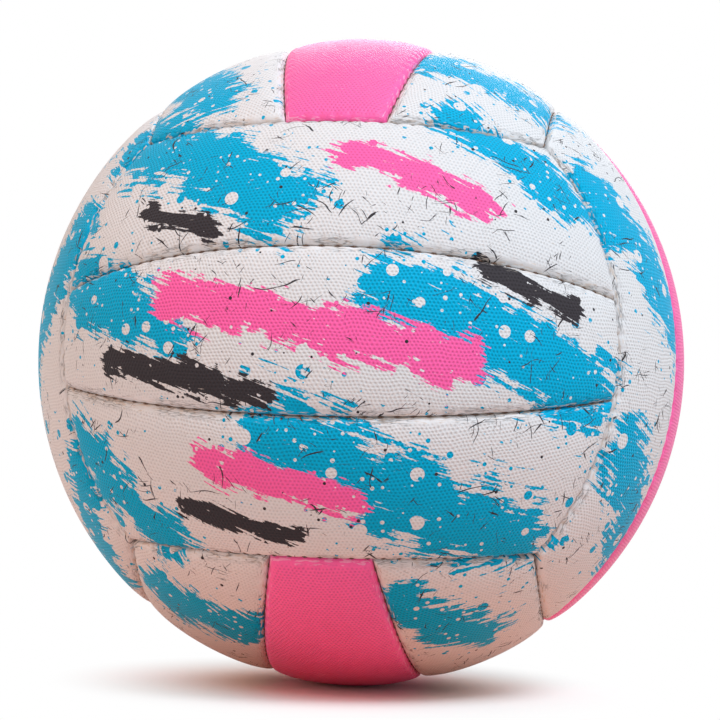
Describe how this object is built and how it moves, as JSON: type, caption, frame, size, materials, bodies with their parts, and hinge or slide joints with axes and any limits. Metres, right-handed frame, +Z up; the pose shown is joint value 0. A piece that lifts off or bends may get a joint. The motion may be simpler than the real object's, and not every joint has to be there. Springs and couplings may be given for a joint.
{
  "type": "netball",
  "caption": "Stitched netball of pimpled rubber strip panels with turned-in sewn edges, cloth backings, an inflated bladder and a needle valve.",
  "frame": {"origin": "centre of the ball", "axes": "+Z up; the front group of strips faces -Y; the needle valve looks out along +Y"},
  "size_m": [0.2228, 0.2227, 0.2228],
  "materials": {
    "white_printed_rubber": "pimpled rubber, white with blue brushed print",
    "pink_pimpled_rubber": "pimpled rubber, bright pink",
    "backing_cloth": "woven polyester and cotton laminate",
    "waxed_thread": "waxed polyester thread",
    "butyl_bladder": "smooth moulded butyl",
    "valve_rubber": "moulded rubber"
  },
  "bodies": {
    "root": {"panel_front_upper": "white_printed_rubber", "panel_front_middle": "white_printed_rubber", "panel_front_lower": "white_printed_rubber", "panel_back_upper": "white_printed_rubber", "panel_back_middle": "white_printed_rubber", "panel_back_lower": "white_printed_rubber", "panel_top_right": "white_printed_rubber", "panel_top_middle": "pink_pimpled_rubber", "panel_top_left": "white_printed_rubber", "panel_bottom_right": "white_printed_rubber", "panel_bottom_middle": "pink_pimpled_rubber", "panel_bottom_left": "white_printed_rubber", "panel_right_front": "white_printed_rubber", "panel_right_middle": "pink_pimpled_rubber", "panel_right_back": "white_printed_rubber", "panel_left_front": "white_printed_rubber", "panel_left_middle": "pink_pimpled_rubber", "panel_left_back": "white_printed_rubber", "backing_front_upper": "backing_cloth", "backing_front_middle": "backing_cloth", "backing_front_lower": "backing_cloth", "backing_back_upper": "backing_cloth", "backing_back_middle": "backing_cloth", "backing_back_lower": "backing_cloth", "backing_top_right": "backing_cloth", "backing_top_middle": "backing_cloth", "backing_top_left": "backing_cloth", "backing_bottom_right": "backing_cloth", "backing_bottom_middle": "backing_cloth", "backing_bottom_left": "backing_cloth", "backing_right_front": "backing_cloth", "backing_right_middle": "backing_cloth", "backing_right_back": "backing_cloth", "backing_left_front": "backing_cloth", "backing_left_middle": "backing_cloth", "backing_left_back": "backing_cloth", "thread_front": "waxed_thread", "thread_back": "waxed_thread", "thread_top": "waxed_thread", "thread_bottom": "waxed_thread", "thread_right": "waxed_thread", "thread_left": "waxed_thread", "bladder": "butyl_bladder", "valve_housing": "valve_rubber", "valve_plug": "valve_rubber"}
  },
  "joints": []
}
